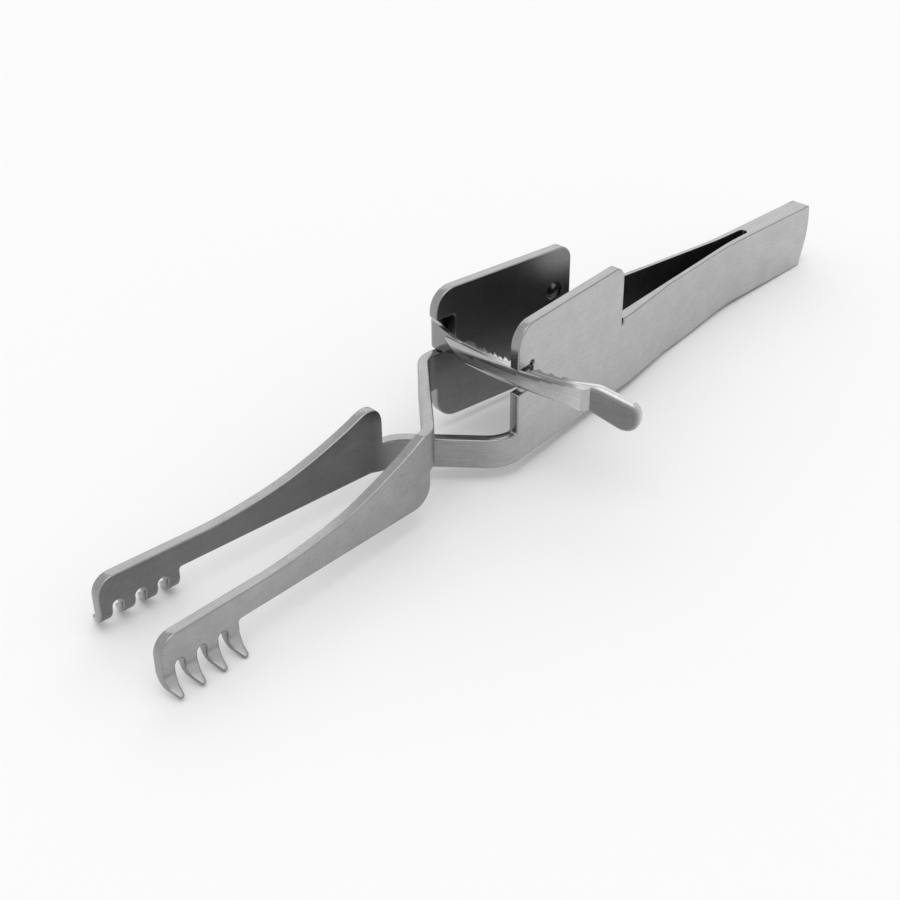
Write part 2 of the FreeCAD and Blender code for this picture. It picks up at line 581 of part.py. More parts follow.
def strip_taper():
    """Trims the strip's leg to a narrow tip at the middle of the bar's height."""
    tip_low = RACK_TOP - RACK_HEIGHT / 2 - STRIP_LAP_HEIGHT / 2
    tip_high = tip_low + STRIP_LAP_HEIGHT
    tip_y, full_y = RACK_START_Y - STRIP_LAP, RACK_START_Y + STRIP_THICK
    face = polygon_face([V(-WIDE, y, z) for y, z in (
        (tip_y, tip_high), (full_y, STRIP_TOP), (WIDE, STRIP_TOP), (WIDE, STRIP_BOTTOM), (full_y, STRIP_BOTTOM),
        (tip_y, tip_low))])
    return face.extrude(FORTH * 2 * WIDE)


def rivet_head(seat, normal):
    """Low domed rivet head standing on its seat."""
    sphere_r = (RIVET_HEAD_RADIUS ** 2 + RIVET_HEAD_HEIGHT ** 2) / (2 * RIVET_HEAD_HEIGHT)
    ball = Part.makeSphere(sphere_r, seat - normal * (sphere_r - RIVET_HEAD_HEIGHT))
    return ball.common(Part.makeCylinder(RIVET_HEAD_RADIUS, RIVET_HEAD_HEIGHT, seat, normal))


def catch_rivet():
    """Rivet through the far plate and the strip: one head outside, one in the recess of the inner face."""
    inner_seat = plate_point(RIVET_X, RIVET_RECESS_DEPTH - SHEET, RIVET_Z)
    outer_seat = plate_point(RIVET_X, STRIP_SEAT + STRIP_THICK + RIVET_CLEARANCE, RIVET_Z)
    shank = Part.makeCylinder(RIVET_RADIUS, (outer_seat - inner_seat).Length, inner_seat, PLATE_NORMAL)
    return shank.fuse([rivet_head(outer_seat, PLATE_NORMAL), rivet_head(inner_seat, -PLATE_NORMAL)]).removeSplitter()


def turned_box(shapes, pitch):
    """Bounding box of shapes after pitching them about the Y axis."""
    turned = Part.makeCompound(shapes)
    turned.Placement = FreeCAD.Placement(ORIGIN, FreeCAD.Rotation(LEFT, pitch))
    return turned.optimalBoundingBox()


def resting_place(leaves, everything):
    """Placement that stands the part on its prongs and its tail, over the origin."""
    tail = [piece for piece in everything if piece.BoundBox.XMin > PIVOT_X]
    pitch = 0.0
    for _ in range(3):
        rise = turned_box(tail, pitch).ZMin - turned_box(leaves, pitch).ZMin
        pitch += degrees(rise / (TAIL_END - JAW_END))
    bounds = turned_box(everything, pitch)
    centre = bounds.Center
    return FreeCAD.Placement(V(-centre.x, -centre.y, -bounds.ZMin), FreeCAD.Rotation(LEFT, pitch))


def main():
    os.makedirs("parts", exist_ok=True)
    half_gap, half_tail = TAIL_GAP / 2, TAIL_THICK / 2
    nodes = {
        "near_leaf": leaf(NEAR),
        "far_leaf": leaf(FAR),
        "near_leaf_end": tail_piece(-half_tail, -half_gap),
        "far_leaf_end": tail_piece(half_gap, half_tail),
        "tail_spacer": tail_spacer(),
        "catch_strip": catch_strip(),
        "rack": rack(),
        "catch_rivet": catch_rivet(),
    }
    place = resting_place([nodes["near_leaf"], nodes["far_leaf"]], list(nodes.values()))
    for name, shape in nodes.items():
        shape.Placement = place.multiply(shape.Placement)
        shape.exportStep("parts/%s.step" % name)
        print(name, shape.isValid(), len(shape.Solids), round(shape.Volume, 2))
    print("pitch", round(degrees(place.Rotation.Angle), 4),
          "squeeze of each leaf for one tooth", round(degrees(TOOTH_PITCH / SLOT_EDGE_R) / 2, 4))
    for label, point in (("near root", V(PIVOT_X, -PIVOT_Y, 0)), ("far root", V(PIVOT_X, PIVOT_Y, 0)),
                         ("strip's hinge", catch_hinge()), ("plate edge", ORIGIN), ("up", UP)):
        print(label, [round(c, 5) for c in place.multVec(point)])


main()
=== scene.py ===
# %% [markdown]
# # Self retaining retractor
# A small surgical spreader. Two leaves of spring steel sheet cross over each other like scissors, and a toothed
# rack holds them. The CAD solids carry the sizes, the joints and the collisions. This lesson dresses them: it
# builds each piece again in Blender with rounded rims, flowing bends and a satin steel finish.
# All sizes are millimetres in the frame in which the part was drawn, with x = 0 at the front edge of the finger
# plates, and one matrix brings every finished mesh to its place in the frame.

# %% Load the frame
import bmesh
import bpy
import json
from math import asin, atan2, cos, pi, radians, sin, sqrt, tan
from mathutils import Matrix, Vector


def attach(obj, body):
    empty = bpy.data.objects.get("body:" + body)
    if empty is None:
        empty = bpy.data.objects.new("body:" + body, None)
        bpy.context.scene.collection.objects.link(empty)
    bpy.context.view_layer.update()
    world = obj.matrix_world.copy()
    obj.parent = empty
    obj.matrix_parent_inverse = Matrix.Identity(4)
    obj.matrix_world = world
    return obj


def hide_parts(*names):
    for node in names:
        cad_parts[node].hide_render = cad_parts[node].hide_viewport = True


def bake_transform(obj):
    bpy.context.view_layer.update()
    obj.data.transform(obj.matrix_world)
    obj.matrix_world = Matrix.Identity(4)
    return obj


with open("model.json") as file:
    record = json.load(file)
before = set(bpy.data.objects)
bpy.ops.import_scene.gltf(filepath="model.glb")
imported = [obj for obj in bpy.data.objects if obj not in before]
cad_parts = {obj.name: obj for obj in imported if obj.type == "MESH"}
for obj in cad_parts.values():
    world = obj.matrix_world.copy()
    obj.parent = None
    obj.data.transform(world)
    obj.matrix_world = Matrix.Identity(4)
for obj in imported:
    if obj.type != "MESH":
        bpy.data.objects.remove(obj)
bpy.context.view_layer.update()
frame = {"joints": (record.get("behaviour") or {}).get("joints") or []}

# %% [markdown]
# The drawing stood upright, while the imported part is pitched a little, so that it rests on its prongs and tail.
# The hinge of the far leaf tells where: its axis is the drawing's upward direction, and its point is the root of
# the far blade. That is enough to build the matrix from the drawing to the frame.

# %% Matrix from the drawing to the frame
ROOT = Vector((54.4, 1.065, 5.0))
hinge = {joint["name"]: joint for joint in frame["joints"]}["far_squeeze"]
up = Vector(hinge["axis"]).normalized()
turn = Matrix(((up.z, 0, up.x), (0, 1, 0), (-up.x, 0, up.z))).to_4x4()
PLACE = Matrix.Translation(Vector(hinge["pos_m"])) @ turn @ Matrix.Scale(0.001, 4) @ Matrix.Translation(-ROOT)
print("pitch in degrees", round(asin(up.x) * 180 / pi, 3))

# %% [markdown]
# Both leaves start as flat blanks, as they do in the workshop: a shape is cut out of sheet, its rim is dressed,
# and then it is bent. In bmesh, a blank is one face on a few corners. A vertex bevel rounds each corner, an
# extrusion gives the sheet its thickness, and an edge bevel with three segments dresses the rim.

# %% Flat blanks
SHEET = 1.36
FINE_CORNER = 0.5      # corners with a smaller radius get fewer segments
SAME = 1e-4            # how near two lengths in mm have to be, to count as the same
X, Y, Z = Vector((1, 0, 0)), Vector((0, 1, 0)), Vector((0, 0, 1))


def rounded(corners):
    """One face in the plane y = 0 with corners (x, z, radius)."""
    bm = bmesh.new()
    verts = [bm.verts.new((x, 0, z)) for x, z, _ in corners]
    bm.faces.new(verts)
    spots = [vert.co.copy() for vert in verts]
    for i, (vert, (_, _, radius)) in enumerate(zip(verts, corners)):
        if radius:
            back, ahead = spots[i - 1] - spots[i], spots[(i + 1) % len(spots)] - spots[i]
            reach = radius / tan(back.angle(ahead) / 2)
            bmesh.ops.bevel(bm, geom=[vert], offset=reach, offset_type="OFFSET",
                            segments=5 if radius < FINE_CORNER else 10, profile=0.5, affect="VERTICES", material=-1,
                            clamp_overlap=False)
    bmesh.ops.remove_doubles(bm, verts=bm.verts, dist=SAME)
    return bm


def thicken(bm, low, high, axis=Y):
    """Gives a flat face its thickness, from low to high along an axis."""
    bmesh.ops.translate(bm, verts=bm.verts, vec=axis * low)
    grown = bmesh.ops.extrude_face_region(bm, geom=bm.faces[:])["geom"]
    bmesh.ops.translate(bm, verts=[g for g in grown if isinstance(g, bmesh.types.BMVert)], vec=axis * (high - low))
    bmesh.ops.recalc_face_normals(bm, faces=bm.faces)


def dress(bm, edges, width, segments=3):
    """Rounds edges off."""
    bmesh.ops.bevel(bm, geom=edges, offset=width, offset_type="OFFSET", segments=segments, profile=0.5,
                    affect="EDGES", material=-1, clamp_overlap=False)


def cut_across(bm, axis, spots, only=lambda co: True):
    """Cuts faces across at stations along an axis, so that they can bend there."""
    for spot in spots:
        faces = [f for f in bm.faces if any(only(v.co) for v in f.verts)]
        near = {v for f in faces for v in f.verts} | {e for f in faces for e in f.edges} | set(faces)
        bmesh.ops.bisect_plane(bm, geom=list(near), dist=1e-5, plane_co=axis * spot, plane_no=axis)


def steps(start, end, step):
    """Even steps from start to end, of about the given size."""
    count = max(1, round(abs(end - start) / step))
    return [start + (end - start) * i / count for i in range(count + 1)]


def plan(corners):
    """One face in the plane z = 0 with corners (x, y, radius)."""
    bm = rounded(corners)
    bmesh.ops.rotate(bm, verts=bm.verts, cent=(0, 0, 0), matrix=Matrix.Rotation(-pi / 2, 3, "X"))
    return bm


def mirror_y(bm):
    """Turns the near side's shape into the far side's, or back."""
    bmesh.ops.scale(bm, verts=bm.verts, vec=(1, -1, 1))


# %% [markdown]
# A bent line in plan is a few corners with radii, and the bend has to be a true arc, because the eye sees at
# once where a sheet's curve has flats. So the line is worked out from its arcs: for each x it gives y and slope.

# %% Bent lines in plan


def bent(corners):
    """Function of x that gives y and slope of a line through corners (x, y, radius), x growing."""
    arcs = []
    for (x0, y0, _), (x1, y1, r), (x2, y2, _) in zip(corners, corners[1:], corners[2:]):
        a, b = atan2(y1 - y0, x1 - x0), atan2(y2 - y1, x2 - x1)
        reach = r * tan(abs(b - a) / 2)
        side = 1 if b > a else -1
        middle = Vector((x1 - reach * cos(a) - side * r * sin(a), y1 - reach * sin(a) + side * r * cos(a)))
        arcs.append((x1 - reach * cos(a), x1 + reach * cos(b), middle, side, r))

    def at(x):
        for low, high, middle, side, r in arcs:
            if low < x < high:
                across = x - middle.x
                rise = sqrt(r * r - across * across)
                return middle.y - side * rise, side * across / rise
        i = 0
        while i < len(arcs) and x >= arcs[i][1]:
            i += 1
        (x0, y0, _), (x1, y1, _) = corners[i], corners[i + 1]
        slope = (y1 - y0) / (x1 - x0)
        return y0 + slope * (x - x0), slope
    return at


SPLAY = radians(6.1)                         # angle between a plate and the middle plane
SLOPE = tan(SPLAY)
HALF_GAP = 6.15                              # from the middle plane to a plate's inner face, at x = 0
ACROSS = SHEET / cos(SPLAY)                  # the sheet's thickness, measured across the middle plane
MID = HALF_GAP + ACROSS / 2                  # from there to the middle of its sheet
NECK = 0.6 / cos(SPLAY)                      # the ground blade's thickness, measured the same way
WELD_IN, WELD_OUT = SHEET / 2, 1.45          # inner and outer face of a leaf's welded end
ROOT_BEND_X = (HALF_GAP - WELD_IN) / SLOPE   # where the blade's and the weld's straight lines meet
ROOT_BEND_END = 54.1                         # x where the bend between them is over, just before the hinge
ROOT_BEND = (ROOT_BEND_END - ROOT_BEND_X) / tan(SPLAY / 2)
CROSS_X, CROSS_SLOPE = -7.9, tan(radians(48.5))      # where and how steeply the strips cross the middle plane
JAW_SLOPE = tan(radians(2.6))
BEFORE, BEYOND = -70, 80                     # x of both ends of a leaf's line, past the leaf itself


def leaf_line(root_y, root_radius, plate_radius):
    """Middle of a leaf's sheet from the jaw over the crossing to the plate."""
    bend_x = (MID + CROSS_X * CROSS_SLOPE) / (CROSS_SLOPE + SLOPE)
    root_x = CROSS_X - root_y / CROSS_SLOPE
    return bent([(BEFORE, -root_y - JAW_SLOPE * (root_x - BEFORE), 0), (root_x, -root_y, root_radius),
                 (bend_x, MID - SLOPE * bend_x, plate_radius), (BEYOND, MID - SLOPE * BEYOND, 0)])


NEAR_LINE, FAR_LINE = leaf_line(3.15, 4.5, 4.6), leaf_line(5.9, 3.0, 3.3)
GRIND_START, GRIND_END = 24.5, 34            # where the blade's outer face is ground away towards its neck
blade_in = bent([(-5, HALF_GAP + SLOPE * 5, 0), (ROOT_BEND_X, WELD_IN, ROOT_BEND), (90, WELD_IN, 0)])
blade_out = bent([(-5, HALF_GAP + SLOPE * 5 + ACROSS, 0),
                  (GRIND_START, HALF_GAP - SLOPE * GRIND_START + ACROSS, 6),
                  (GRIND_END, HALF_GAP - SLOPE * GRIND_END + NECK, 12),
                  ((HALF_GAP + NECK - WELD_OUT) / SLOPE, WELD_OUT, ROOT_BEND), (90, WELD_OUT, 0)])
print("blade thickness at its neck", round(blade_out(38)[0] - blade_in(38)[0], 3))

# %% [markdown]
# The outline of a leaf in the flat holds everything that was cut out of one sheet: tail, blade, finger plate,
# cross-over strip, jaw and the four prongs, here still straight. The two leaves share the tail, the blade and
# the comb of prongs, and differ where they pass each other.

# %% Outlines of the two leaves
END_TOP, END_LOW = 10.1, 0.75                # upper and lower edge of the tail's end
PLATE_BACK, PLATE_TOP = 22, 18.1             # back edge and top of a finger plate, whose front edge is at x = 0
TAIL = [(39, 0, 60), (51, END_LOW, 60), (69.0, END_LOW, 1.2), (69.95, 3.6, 9), (70.17, 6.9, 9), (70, END_TOP, 0.8),
        (22.35, 10.4, 0.1), (22.35, 9.6, 0.12), (PLATE_BACK, 9.6, 0.12), (PLATE_BACK, PLATE_TOP, 2),
        (0, PLATE_TOP, 3)]
HOOK_TOP, HOOK_R, HOOK_TURN, HOOK_POINT = -0.7, 1.9, radians(68), 1.35
HOOK_TAPER, HOOK_EASE = 2.2, 2.6             # length in which a prong draws in to its tip, and the radius there
PRONG_PITCH, PRONG_WIDTH, PRONG_TIP = 2.84, 1.62, 0.24
HOOK_LENGTH = HOOK_R * HOOK_TURN + HOOK_POINT
PRONGS, HEEL, FAR_JAW_SET_BACK = 4, -42.9, 1.1
ARM_LOW, ARM_TOP = 0.5, 3.6                  # lower and upper edge of a jaw's slim arm


def comb(heel):
    """Corners of the four prongs from the heel to the nose, unrolled."""
    corners, low = [(heel, ARM_LOW, 0.35)], HOOK_TOP - HOOK_LENGTH
    for i in range(PRONGS):
        right = heel - i * PRONG_PITCH
        left, middle = right - PRONG_WIDTH, right - PRONG_WIDTH / 2
        corners += [(right, low + HOOK_TAPER, HOOK_EASE), (middle + PRONG_TIP, low, 0.22),
                    (middle - PRONG_TIP, low, 0.22), (left, low + HOOK_TAPER, HOOK_EASE)]
        if i < PRONGS - 1:
            corners += [(left, 0.2, 0.6), (right - PRONG_PITCH, 0.2, 0.6)]
    return corners + [(left, ARM_TOP, 2.2)]


SLOT_LOW, SLOT_TOP, SLOT_BACK = 9.3, 12.6, 2.4       # the near plate's slot, which the rack passes through
FAR_SLOT_TOP, FAR_SLOT_BACK = 14.3, 2.9
HOLE_LEFT, HOLE_RIGHT, HOLE_LOW, HOLE_TOP, HOLE_R = 2.29, 3.09, 12.2, 13, 0.38   # hole in the near slot's corner
LOW_STRIP_TOP = 3.95                         # the near leaf's strip crosses over below the far leaf's
HIGH_STRIP_LOW, HIGH_STRIP_TOP = 4.7, 9.7
LOW_WEB_X, HIGH_WEB_X = -12.6, -13.7         # free edge of each jaw's web
near_outline = [(-14.6, ARM_LOW, 0), (LOW_WEB_X, 0, 0.3)] + TAIL + [
    (0, SLOT_TOP, 0.15), (HOLE_LEFT, SLOT_TOP, 0.03), (HOLE_LEFT, HOLE_TOP, HOLE_R), (HOLE_RIGHT, HOLE_TOP, HOLE_R),
    (HOLE_RIGHT, HOLE_LOW, HOLE_R), (SLOT_BACK, HOLE_LOW, 0.03), (SLOT_BACK, SLOT_LOW, 0.3), (0, SLOT_LOW, 0.15),
    (0, LOW_STRIP_TOP, 0.3), (LOW_WEB_X, LOW_STRIP_TOP, 0.15), (LOW_WEB_X, 10.37, 2.2),
    (-20.6, 6.47, 52), (-32.5, ARM_TOP, 52)] + comb(HEEL + FAR_JAW_SET_BACK)[::-1]
far_outline = [
    (HIGH_WEB_X, ARM_LOW, 2.6), (HIGH_WEB_X, HIGH_STRIP_LOW, 0.2), (0, HIGH_STRIP_LOW, 0.3), (0, 0, 3)] + TAIL + [
    (0, FAR_SLOT_TOP, 0.3), (FAR_SLOT_BACK, FAR_SLOT_TOP, 0.35), (FAR_SLOT_BACK, HIGH_STRIP_TOP, 0.35),
    (-14.5, HIGH_STRIP_TOP, 0.6), (-20.2, 6.66, 52), (-32.5, ARM_TOP, 52)] + comb(HEEL)[::-1]
print("corners", len(near_outline), len(far_outline))

# %% [markdown]
# Bending is one move of the vertices. Every vertex keeps its height and its depth in the sheet, and goes to the
# bent line in plan. In the blade, the depth runs between its inner and its ground outer face. In the prongs,
# the sheet curls round a small arc and thins towards the tips, which makes them hooks.
# Before it bends, each face corner keeps its flat place in the attribute `flat`, so that the grain can follow the
# sheet, and its painted shade. The faces of the rim are marked too, as they are smoother and have a grey of their
# own.

# %% Bend a leaf
TIP_HALF = 0.25        # half thickness of a prong's tip
RIM = 0.17             # width of the dressed rim


def curl(depth, z):
    """Depth and height of a hook's point that lies at depth and z in the flat blank."""
    down = HOOK_TOP - z
    arc = HOOK_R * HOOK_TURN
    share = min(down / arc, 1)
    half = SHEET / 2 + (TIP_HALF - SHEET / 2) * share
    radius, angle = HOOK_R + depth * half, HOOK_TURN * share
    ahead = max(0, down - arc)
    return radius * cos(angle) - HOOK_R - ahead * sin(angle), HOOK_TOP - radius * sin(angle) - ahead * cos(angle)


END_X, END_SLANT, END_BULGE, END_ROUND = 68.9, 1.1, 2.82, 0.6    # the tail's end and its rounding in plan
END_STATIONS = steps(68.2, 70.1, 0.12)
FADE = 3               # a plate's front edge is square to the sheet, and that shift fades out over this length


def tail_end_x(z):
    """Bulged and slanted end of the tail."""
    share = (z - END_LOW) / (END_TOP - END_LOW)
    return END_X + END_SLANT * share + END_BULGE * share * (1 - share)


def end_narrowing(x, z):
    """Share of the tail's width that is left near its end, which is rounded in plan."""
    inside = END_ROUND - (tail_end_x(z) - x)
    if inside <= 0:
        return 1
    return (WELD_OUT - END_ROUND + sqrt(max(0, END_ROUND ** 2 - min(inside, END_ROUND) ** 2))) / WELD_OUT


def bend_leaf(bm, line):
    """Moves a flat leaf, or a cutter for one, to its bent line."""
    for vert in bm.verts:
        x, depth, z = vert.co.x, vert.co.y / (SHEET / 2), vert.co.z
        out = depth * SHEET / 2
        if z < HOOK_TOP:
            out, z = curl(depth, z)
        y, slope = line(x)
        length = sqrt(1 + slope * slope)
        if x < 0:
            vert.co = (x - slope / length * out, y + out / length, z)
        else:
            low, high = blade_in(x)[0], blade_out(x)[0]
            across = (low + (depth + 1) / 2 * (high - low)) * end_narrowing(x, z)
            vert.co = (x - slope / length * out * max(0, 1 - x / FADE), across, z)


def painted_shade_by_place(jaw, web, strip):
    """Painted shade by place: the inner faces of plates and blades are painted half as light, and jaws, webs and
    strips darker by the given shares.
    """
    stops = [(-90, jaw), (-22, jaw), (-14, web), (-9, strip), (-4, strip)]

    def grain_and_painted_shade(co):
        # painted shade: the inner face of a plate or blade is painted half as light
        inside = min(1, max(0, 0.5 - co.y / SHEET))
        line = stops + [(1, 1.0 - 0.5 * inside), (90, 1.0 - 0.5 * inside)]
        for (x0, t0), (x1, t1) in zip(line, line[1:]):
            if co.x <= x1:
                return t0 + (t1 - t0) * (co.x - x0) / (x1 - x0)
    return grain_and_painted_shade


def mark(bm, grain_and_painted_shade=lambda co: 1.0, rim_share=1.0):
    """Keeps each corner's flat place and painted shade, and how much of a rim each face is."""
    flat = bm.loops.layers.float_vector.new("flat")
    shade = bm.loops.layers.float.new("grain_and_painted_shade")
    rim = bm.faces.layers.float.new("rim")
    for face in bm.faces:
        face[rim] = 0.0 if abs(face.normal.y) > 0.995 else rim_share
        for corner in face.loops:
            corner[flat] = corner.vert.co * 0.001
            corner[shade] = grain_and_painted_shade(corner.vert.co)


def leaf_mesh(outline, line, grain_and_painted_shade, mirrored):
    """A leaf in its bent place. Its inner edges along the weld stay sharp, so that no seam shows there."""
    bm = rounded(outline)
    thicken(bm, -SHEET / 2, SHEET / 2)
    rim = [e for e in bm.edges if abs(e.verts[0].co.y - e.verts[1].co.y) < SAME
           and not (e.verts[0].co.y < 0 and max(v.co.x for v in e.verts) > 60)]
    dress(bm, rim, RIM)
    cut_across(bm, X, steps(-16, 0.5, 0.33) + steps(1.5, 22.5, 3) + steps(23, 36, 0.8) + steps(38, 56, 1.2)
               + END_STATIONS)
    cut_across(bm, Z, steps(HOOK_TOP, HOOK_TOP - HOOK_R * HOOK_TURN, 0.3), only=lambda co: co.z < 0 and co.x < -30)
    mark(bm, grain_and_painted_shade)
    bend_leaf(bm, line)
    if mirrored:
        mirror_y(bm)
        bmesh.ops.reverse_faces(bm, faces=bm.faces)
    return bm


# %% [markdown]
# A finished bmesh becomes an object at the origin, with its place in its mesh. Smooth shading with sharp edges
# over a set angle, and normals weighted by face size, keep the flats flat and let the small rims catch light.

# %% From bmesh to piece
SHARP = radians(38)


def finish_piece(bm, name, material, stands_for, place=PLACE):
    """Makes the object, at the origin and the CAD nodes that it stands for."""
    mesh = bpy.data.meshes.new(name)
    bm.to_mesh(mesh)
    bm.free()
    mesh.transform(place)
    mesh.polygons.foreach_set("use_smooth", [True] * len(mesh.polygons))
    mesh.set_sharp_from_angle(angle=SHARP)
    piece = bpy.data.objects.new(name, mesh)
    bpy.context.scene.collection.objects.link(piece)
    even = piece.modifiers.new("even normals", "WEIGHTED_NORMAL")
    even.keep_sharp = True
    mesh.materials.append(material)
    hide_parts(*stands_for)
    print(name, len(mesh.vertices), "vertices")
    return piece


# %% [markdown]
# A hollow that the outline can't give, such as a round recess in a face, is carved with the Boolean modifier. It
# is applied at once, and its cutter is deleted, so that only the finished mesh stays in the file. The cutter's
# faces carry the same attributes as the pieces', and a painted shade of their own, which the new faces keep.

# %% Carving


def carve(piece, cutter_bm, grain_and_painted_shade):
    """Cuts a closed bmesh out of a piece. The faces that the cut leaves get the given painted shade."""
    cutter_bm.normal_update()
    mark(cutter_bm, lambda co: grain_and_painted_shade)
    mesh = bpy.data.meshes.new("cutter")
    bmesh.ops.recalc_face_normals(cutter_bm, faces=cutter_bm.faces)
    cutter_bm.to_mesh(mesh)
    cutter_bm.free()
    mesh.transform(PLACE)
    cutter = bpy.data.objects.new("cutter", mesh)
    bpy.context.scene.collection.objects.link(cutter)
    modifier = piece.modifiers.new("carve", "BOOLEAN")
    modifier.object, modifier.solver = cutter, "EXACT"
    piece.modifiers["even normals"].show_viewport = False
    carved = bpy.data.meshes.new_from_object(piece.evaluated_get(bpy.context.evaluated_depsgraph_get()))
    piece.modifiers.remove(modifier)
    print(piece.name, "carved,", len(carved.vertices), "vertices")
    piece.modifiers["even normals"].show_viewport = True
    before, piece.data = piece.data, carved
    carved.name = piece.name
    carved.set_sharp_from_angle(angle=SHARP)
    bpy.data.objects.remove(cutter)
    bpy.data.meshes.remove(before)


# %% [markdown]
# Satin steel is brushed along the sheet: very fine scratches, all in one direction. The grain mixes a noise that is
# stretched along the sheet with a fine speckle, and faint blotches stand for handling. As several materials use it,
# it is a node group, which puts out a colour, a roughness and a normal, and each steel gives it its own values.
# Some sockets are given by number. In Map Range, 1 and 2 are the range that comes in, and 3 and 4 the one that goes
# out. In Mix, 0 is the factor, 2 and 3 are the two numbers, and 6 and 7 the two colours.

# %% The brushed steel group


def new_group(name, inputs, outputs):
    """An empty node group with its sockets, and its input and output nodes."""
    group = bpy.data.node_groups.new(name, "ShaderNodeTree")
    for label, kind, value in inputs:
        socket = group.interface.new_socket(label, in_out="INPUT", socket_type=kind)
        if value is not None:
            socket.default_value = value
    for label, kind in outputs:
        group.interface.new_socket(label, in_out="OUTPUT", socket_type=kind)
    return group, group.nodes.new("NodeGroupInput"), group.nodes.new("NodeGroupOutput")


def node(tree, kind, links=None, **settings):
    """Adds a node, sets its properties, and links or sets its inputs by name or number."""
    made = tree.nodes.new(kind)
    for key, value in settings.items():
        setattr(made, key, value)
    for key, value in (links or {}).items():
        if isinstance(value, bpy.types.NodeSocket):
            tree.links.new(value, made.inputs[key])
        else:
            made.inputs[key].default_value = value
    return made


def brushed_group():
    """Colour, roughness and normal of brushed steel, from its place, its painted shade and its rim."""
    group, given, result = new_group(
        "Brushed steel",
        [("Place", "NodeSocketVector", None), ("Steel", "NodeSocketColor", (0.6, 0.6, 0.6, 1)),
         ("Painted Shade", "NodeSocketFloat", 1.0), ("Rim", "NodeSocketFloat", 0.0),
         ("Rim Steel", "NodeSocketColor", (0.6, 0.6, 0.6, 1)), ("Roughness", "NodeSocketFloat", 0.3),
         ("Grain", "NodeSocketFloat", 0.2)],
        [("Color", "NodeSocketColor"), ("Roughness", "NodeSocketFloat"), ("Normal", "NodeSocketVector")])
    stretch = node(group, "ShaderNodeMapping", {"Vector": given.outputs["Place"], "Scale": (260, 9000, 9000)})
    fine = node(group, "ShaderNodeTexNoise", {"Vector": stretch.outputs[0], "Scale": 1.0, "Detail": 3.0})
    blotch = node(group, "ShaderNodeTexNoise", {"Vector": given.outputs["Place"], "Scale": 420.0, "Detail": 4.0})
    speck = node(group, "ShaderNodeTexNoise", {"Vector": given.outputs["Place"], "Scale": 5200.0, "Detail": 2.0})
    streak = node(group, "ShaderNodeMix", {0: 0.45, 2: fine.outputs["Fac"], 3: speck.outputs["Fac"]})
    shade = node(group, "ShaderNodeMapRange", {0: streak.outputs[0], 1: 0.3, 2: 0.7, 3: 0.86, 4: 1.1})
    cloud = node(group, "ShaderNodeMapRange", {0: blotch.outputs["Fac"], 1: 0.3, 2: 0.7, 3: 0.95, 4: 1.05})
    grain_and_painted_shade = node(group, "ShaderNodeMath", {0: shade.outputs[0], 1: cloud.outputs[0]}, operation="MULTIPLY")
    # the steel's grey, darkened by the painted shade
    sides = node(group, "ShaderNodeVectorMath", {0: given.outputs["Steel"], 1: given.outputs["Painted Shade"]},
                 operation="MULTIPLY")
    mixed = node(group, "ShaderNodeMix", {0: given.outputs["Rim"], 6: sides.outputs[0],
                                          7: given.outputs["Rim Steel"]}, data_type="RGBA")
    color = node(group, "ShaderNodeVectorMath", {0: mixed.outputs[2], 1: grain_and_painted_shade.outputs[0]}, operation="MULTIPLY")
    rough = node(group, "ShaderNodeMapRange", {0: streak.outputs[0], 1: 0.3, 2: 0.7, 3: 0.06, 4: -0.06})
    rough = node(group, "ShaderNodeMath", {0: rough.outputs[0], 1: given.outputs["Roughness"]}, operation="ADD")
    rough = node(group, "ShaderNodeMath", {0: given.outputs["Rim"], 1: -0.12, 2: rough.outputs[0]},
                 operation="MULTIPLY_ADD", use_clamp=True)
    bump = node(group, "ShaderNodeBump", {"Strength": given.outputs["Grain"], "Distance": 0.00002,
                                          "Height": streak.outputs[0]})
    group.links.new(color.outputs[0], result.inputs["Color"])
    group.links.new(rough.outputs[0], result.inputs["Roughness"])
    group.links.new(bump.outputs[0], result.inputs["Normal"])
    return group


BRUSHED = brushed_group()


def steel(name, grey, rim_grey, roughness, grain, anisotropic=0.3):
    """A steel with a grey for its flat sides and one for its rims, both with a trace of blue."""
    material = bpy.data.materials.new(name)
    material.use_nodes = True
    tree = material.node_tree
    shader = tree.nodes["Principled BSDF"]
    flat = node(tree, "ShaderNodeAttribute", attribute_name="flat")
    rim = node(tree, "ShaderNodeAttribute", attribute_name="rim")
    grain_and_painted_shade = node(tree, "ShaderNodeAttribute", attribute_name="grain_and_painted_shade")
    group = node(tree, "ShaderNodeGroup", node_tree=BRUSHED)
    tree.links.new(flat.outputs["Vector"], group.inputs["Place"])
    tree.links.new(rim.outputs["Fac"], group.inputs["Rim"])
    tree.links.new(grain_and_painted_shade.outputs["Fac"], group.inputs["Painted Shade"])
    group.inputs["Steel"].default_value = (grey, grey, grey * 1.01, 1)
    group.inputs["Rim Steel"].default_value = (rim_grey, rim_grey, rim_grey * 1.01, 1)
    group.inputs["Roughness"].default_value = roughness
    group.inputs["Grain"].default_value = grain
    tree.links.new(group.outputs["Color"], shader.inputs["Base Color"])
    tree.links.new(group.outputs["Roughness"], shader.inputs["Roughness"])
    tree.links.new(group.outputs["Normal"], shader.inputs["Normal"])
    shader.inputs["Metallic"].default_value = 1.0
    shader.inputs["Anisotropic"].default_value = anisotropic
    return material


LEAF_STEEL = steel("satin leaf steel", grey=0.5, rim_grey=0.31, roughness=0.34, grain=0.35)
STRIP_STEEL = steel("satin strip steel", grey=0.34, rim_grey=0.28, roughness=0.3, grain=0.3)
RACK_STEEL = steel("polished rack steel", grey=0.62, rim_grey=0.46, roughness=0.3, grain=0.12, anisotropic=0.15)
PADDLE_STEEL = steel("worn paddle steel with painted face shade", grey=0.56, rim_grey=0.56, roughness=0.24, grain=0.16, anisotropic=0.15)
RIVET_STEEL = steel("turned rivet steel", grey=0.1, rim_grey=0.12, roughness=0.3, grain=0.2, anisotropic=0.0)
